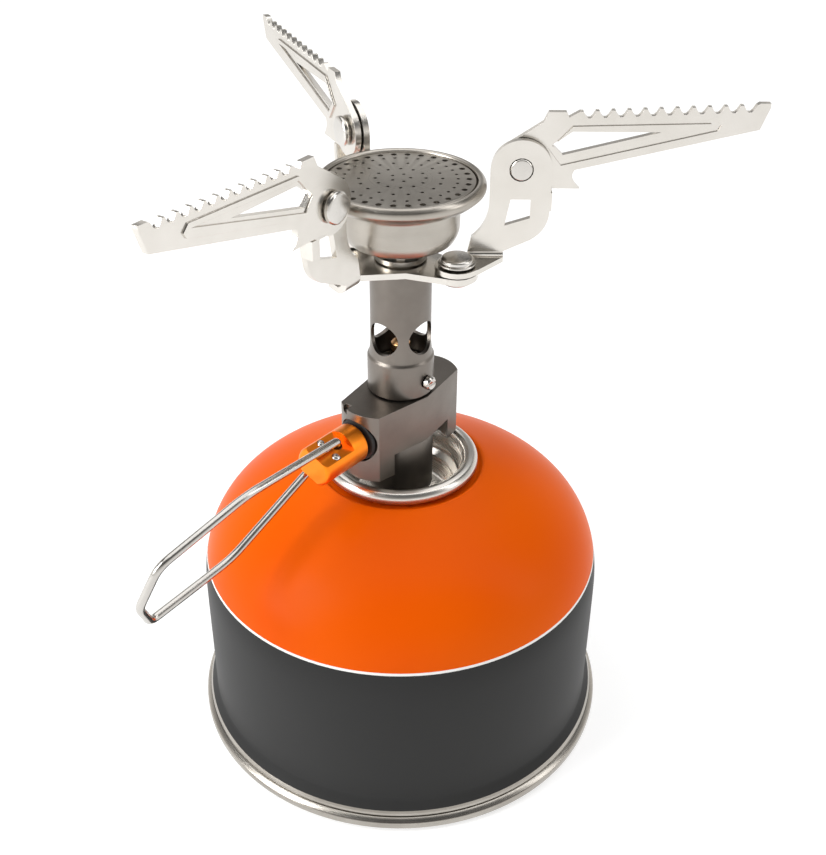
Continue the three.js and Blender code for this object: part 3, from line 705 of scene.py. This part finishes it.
for name in ("support_plate", "right_bracket", "rear_bracket", "right_arm", "rear_arm",
             "left_arm"):
    stamped(name)
for arm in ("right", "rear", "left"):
    turned(arm + "_pivot_rivet", joint_frame(arm + "_arm_fold"), fillet=0.3,
           segments=SMALL_SEGMENTS, shank=PIVOT_SHANK)
for arm in ("right", "rear"):
    turned(arm + "_swing_rivet", joint_frame(arm + "_bracket_swing"),
           segments=SWING_RIVET_SEGMENTS)

# ---------------------------------------------------------------- burner
# Rings of flame ports: (radius of the ring, ports, radius of a port).
PORT_RINGS = ((12.4, 30, 0.55), (10.4, 30, 0.32), (7.6, 18, 0.32), (4.6, 12, 0.32),
              (1.8, 5, 0.32))
PORT_SEGMENTS = 14
PORT_CUT = 3            # the cutters' length, more than the plate's thickness
PLATE_DOME = 0.3        # how far both faces of the plate rise from its rim to its middle


def burner_plate():
    """The burner's top plate, with its flame ports."""
    low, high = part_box("burner_plate")
    radius = (high.x - low.x) / 2
    dome = PLATE_DOME * MM
    outline = ((0, low.z + dome), (radius, low.z), (radius, high.z - dome), (0, high.z))
    points = [Vector(point) for point in outline]
    piece = lathed("burner_plate", points, closed=False, fillet=0.2, segments=FINE_SEGMENTS,
                   base=UPRIGHT)
    ports = bmesh.new()
    for ring, count, size in PORT_RINGS:
        for i in range(count):
            turn = Matrix.Rotation(2 * math.pi * i / count, 4, "Z")
            centre = turn @ Vector((ring * MM, 0, (low.z + high.z) / 2))
            bmesh.ops.create_cone(ports, cap_ends=True, segments=PORT_SEGMENTS,
                                  radius1=size * MM, radius2=size * MM, depth=PORT_CUT * MM,
                                  matrix=UPRIGHT @ Matrix.Translation(centre))
    carve(piece, [piece_from(ports, "cutter")])
    finish_piece(piece, "burner_plate")


turned("burner_bowl", fillet=0.4)
stamped("burner_neck", edge=0.1)
burner_plate()

# ---------------------------------------------------------------- the nodes that stay
for node, obj in frame["nodes"].items():
    if not obj.hide_render:
        obj.data.materials.clear()
        obj.data.materials.append(MATERIALS[SLOT_OF[node]])

# ---------------------------------------------------------------- stage, light and camera
# From here on, lengths are in metres.
LIGHT_TARGET = 0.07     # the height that the lights point at
CAMERA_DISTANCE = 0.206
CAMERA_HEIGHT = 0.2051
CAMERA_YAW = math.radians(0.70)
CAMERA_PITCH = math.radians(33.24)
CAMERA_ROLL = math.radians(0.38)
FOCAL_LENGTH = 50.6     # millimetres, on a sensor 36 mm wide


def floor():
    """A pale floor, which gives off some light so that it comes out white."""
    bm = bmesh.new()
    bmesh.ops.create_grid(bm, x_segments=1, y_segments=1, size=3)
    piece = piece_from(bm, "floor")
    material, _, shader = node_tree("floor_white")
    shader.inputs["Base Color"].default_value = (0.50, 0.50, 0.50, 1)
    shader.inputs["Emission Color"].default_value = (1, 1, 1, 1)
    shader.inputs["Emission Strength"].default_value = 0.65
    shader.inputs["Roughness"].default_value = 0.8
    piece.data.materials.append(material)


def world():
    """A studio that is pale round the floor and dark overhead."""
    studio = bpy.data.worlds.new("studio")
    studio.use_nodes = True
    tree = studio.node_tree
    background = tree.nodes["Background"]
    place = add(tree, "ShaderNodeTexCoord")
    split = add(tree, "ShaderNodeSeparateXYZ")
    tree.links.new(place.outputs["Generated"], split.inputs["Vector"])
    height = spread(tree, split.outputs["Z"], 0, 1, start=-0.1, end=0.75)
    color = tint(tree, height, (0.97, 0.95, 0.92), (0.12, 0.12, 0.12))
    tree.links.new(color, background.inputs["Color"])
    background.inputs["Strength"].default_value = 0.95
    bpy.context.scene.world = studio


def area_light(name, location, size, power):
    """A rectangular light, placed from the foot of the stove's axis and turned towards it."""
    data = bpy.data.lights.new(name, "AREA")
    data.shape = "RECTANGLE"
    data.size, data.size_y = size
    data.energy = power
    light = bpy.data.objects.new(name, data)
    light.location = Vector(location) + AXIS
    target = AXIS + Vector((0, 0, LIGHT_TARGET))
    light.rotation_euler = (target - light.location).to_track_quat("-Z", "Y").to_euler()
    bpy.context.scene.collection.objects.link(light)


def camera():
    """The photograph's view, from in front and above."""
    right = Vector((math.cos(CAMERA_YAW), -math.sin(CAMERA_YAW), 0))
    ahead = Vector((math.sin(CAMERA_YAW), math.cos(CAMERA_YAW), 0))
    up = ahead * math.sin(CAMERA_PITCH) + Vector((0, 0, math.cos(CAMERA_PITCH)))
    side = right * math.cos(CAMERA_ROLL) + up * math.sin(CAMERA_ROLL)
    top = up * math.cos(CAMERA_ROLL) - right * math.sin(CAMERA_ROLL)
    data = bpy.data.cameras.new("camera")
    data.lens = FOCAL_LENGTH
    data.sensor_width = 36
    data.clip_start = 0.01
    view = bpy.data.objects.new("camera", data)
    turn = Matrix((side, top, side.cross(top))).transposed().to_4x4()
    place = AXIS + Vector((0, -CAMERA_DISTANCE, CAMERA_HEIGHT))
    view.matrix_world = Matrix.Translation(place) @ turn
    bpy.context.scene.collection.objects.link(view)
    bpy.context.scene.camera = view


floor()
world()
area_light("left_softbox", (-0.55, -0.25, 0.40), (0.30, 0.55), 4.2)
area_light("right_softbox", (0.55, -0.10, 0.45), (0.16, 0.55), 0.9)
area_light("overhead_panel", (0.0, 0.35, 1.6), (2.0, 2.0), 20)
camera()
bpy.context.scene.view_settings.view_transform = "Standard"
